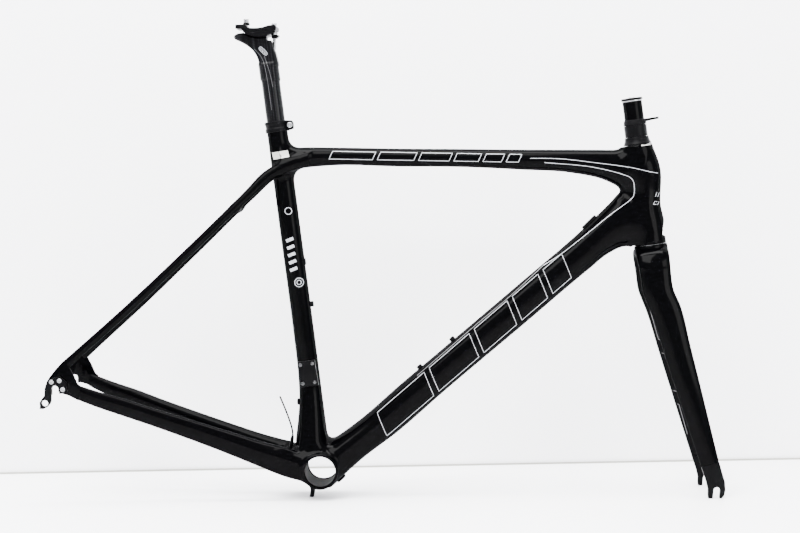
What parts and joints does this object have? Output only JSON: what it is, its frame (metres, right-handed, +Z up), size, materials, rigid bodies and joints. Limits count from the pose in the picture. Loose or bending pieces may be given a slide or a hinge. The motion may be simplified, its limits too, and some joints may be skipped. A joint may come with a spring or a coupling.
{
  "type": "bicycle frame",
  "caption": "Bare carbon road bicycle frame with its fork, headset, seatpost and saddle clamp, standing on its fork tips and bottom bracket.",
  "frame": {"origin": "on the floor under the middle of the whole frameset, at rest on its two fork tips and the cable guide under the bottom bracket", "axes": "+X forward, towards the fork; +Y to the rider's left; +Z up"},
  "size_m": [1.0004, 0.1454, 0.7134],
  "materials": {
    "satin_carbon": "satin black clear coat over carbon fibre",
    "gloss_carbon": "gloss clear coat over carbon fibre",
    "black_anodised": "black anodised, satin",
    "bright_steel": "bright",
    "black_rubber": "matt",
    "black_plastic": "matt",
    "cable_sleeve": "satin black cable sleeve"
  },
  "bodies": {
    "frame": {"head_tube": "satin_carbon", "top_tube": "satin_carbon", "down_tube": "satin_carbon", "seat_tube": "satin_carbon", "bottom_bracket_shell": "satin_carbon", "chainstay_right": "satin_carbon", "chainstay_left": "satin_carbon", "chainstay_bridge": "satin_carbon", "seatstay_right": "satin_carbon", "seatstay_left": "satin_carbon", "seatstay_bridge": "satin_carbon", "dropout_right": "satin_carbon", "dropout_left": "satin_carbon", "derailleur_hanger": "black_anodised", "hanger_screw_1": "bright_steel", "hanger_screw_2": "bright_steel", "hanger_screw_3": "bright_steel", "down_tube_bottle_bolt_lower": "black_anodised", "down_tube_bottle_bolt_upper": "black_anodised", "seat_tube_bottle_bolt": "black_anodised", "seat_tube_bottle_insert": "black_anodised", "front_derailleur_plate": "black_anodised", "derailleur_plate_rivet_1": "bright_steel", "derailleur_plate_rivet_2": "bright_steel", "derailleur_plate_rivet_3": "bright_steel", "derailleur_plate_rivet_4": "bright_steel", "seat_tube_grommet": "black_rubber", "cable_ferrule": "black_anodised", "derailleur_cable_stub": "cable_sleeve", "bottom_bracket_cable_guide": "black_plastic", "down_tube_port_cover": "black_plastic", "lower_cable_exit": "black_rubber", "seat_collar": "black_anodised", "seat_collar_bolt": "bright_steel", "seat_collar_nut": "black_anodised", "upper_bearing_outer_race": "bright_steel", "lower_bearing_outer_race": "bright_steel"},
    "fork": {"steerer_tube": "satin_carbon", "fork_crown": "satin_carbon", "fork_blade_right": "satin_carbon", "fork_blade_left": "satin_carbon", "fork_tip_right": "black_anodised", "fork_tip_left": "black_anodised", "crown_race": "bright_steel", "lower_bearing_inner_race": "bright_steel", "upper_bearing_inner_race": "bright_steel", "headset_compression_ring": "black_anodised", "headset_cover": "black_anodised", "steerer_spacer": "black_anodised", "steerer_clip": "black_plastic", "expander_plug": "black_anodised", "top_cap": "black_anodised", "top_cap_bolt": "bright_steel"},
    "seatpost": {"seatpost": "gloss_carbon"},
    "saddle_clamp": {"saddle_clamp_cradle": "black_anodised", "saddle_clamp_top": "black_anodised", "saddle_clamp_rear_bolt": "bright_steel", "saddle_clamp_front_bolt": "bright_steel", "saddle_clamp_rear_nut": "black_anodised", "saddle_clamp_front_nut": "black_anodised"}
  },
  "joints": [
    {"name": "steering", "type": "hinge", "parent": "frame", "child": "fork", "pos_m": [0.39047, 0.00265, 0.44851], "axis": [-0.119, 0, 0.9929], "range_deg": [-75, 75]},
    {"name": "seatpost_height", "type": "slide", "parent": "frame", "child": "seatpost", "axis": [-0.112, 0, 0.9937], "range_m": [-0.055, 0.055]},
    {"name": "saddle_clamp_tilt", "type": "hinge", "parent": "seatpost", "child": "saddle_clamp", "pos_m": [-0.17293, 0.00265, 0.72768], "axis": [0, 1, 0], "range_deg": [-6, 6]}
  ]
}
